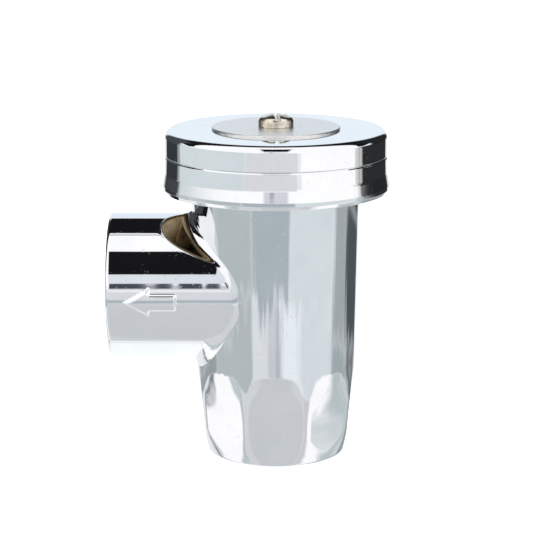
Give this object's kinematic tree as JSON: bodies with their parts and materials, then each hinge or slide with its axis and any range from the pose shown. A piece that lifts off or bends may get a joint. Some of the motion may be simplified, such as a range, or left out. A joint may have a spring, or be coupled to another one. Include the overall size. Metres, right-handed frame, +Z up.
{
  "type": "angle-pattern atmospheric vacuum breaker (automatic air-inlet vent)",
  "caption": "Chrome-plated angle vacuum breaker with a threaded base inlet, side outlet, guided float inside and a round screwed-on air hood.",
  "frame": {"origin": "centre of the base face, on the axis of the inlet socket", "axes": "+Z up along the barrel to the hood, -X out of the side outlet, +Y to the side without the flow arrow"},
  "size_m": [0.0538, 0.0436, 0.0662],
  "materials": {
    "body_chrome": "polished chrome plate on cast brass; bare brass inside the sockets and chamber",
    "hood_chrome": "polished chrome plate on pressed brass; unplated inside",
    "plate_nickel": "fine stippled satin nickel, blank",
    "screw_nickel_brass": "thinly nickel-plated brass",
    "turned_brass": "machined, unplated",
    "stainless": "turned stainless steel",
    "carrier_acetal": "moulded, natural white",
    "disc_silicone": "moulded silicone",
    "seal_rubber": "black flat seal"
  },
  "bodies": {
    "valve": {"valve_body": "body_chrome", "inlet_nozzle": "turned_brass", "nozzle_seal": "seal_rubber", "vent_bonnet": "turned_brass", "bonnet_seal": "seal_rubber", "hood": "hood_chrome", "hood_lock_washer": "stainless", "name_plate": "plate_nickel", "hood_screw": "screw_nickel_brass"},
    "float": {"float_guide": "turned_brass", "inlet_disc": "disc_silicone", "float_carrier": "carrier_acetal", "vent_disc": "disc_silicone", "disc_washer": "stainless", "float_screw": "stainless"}
  },
  "joints": [
    {"name": "float_lift", "type": "slide", "parent": "valve", "child": "float", "axis": [0, 0, 1], "range_m": [0, 0.005]}
  ]
}
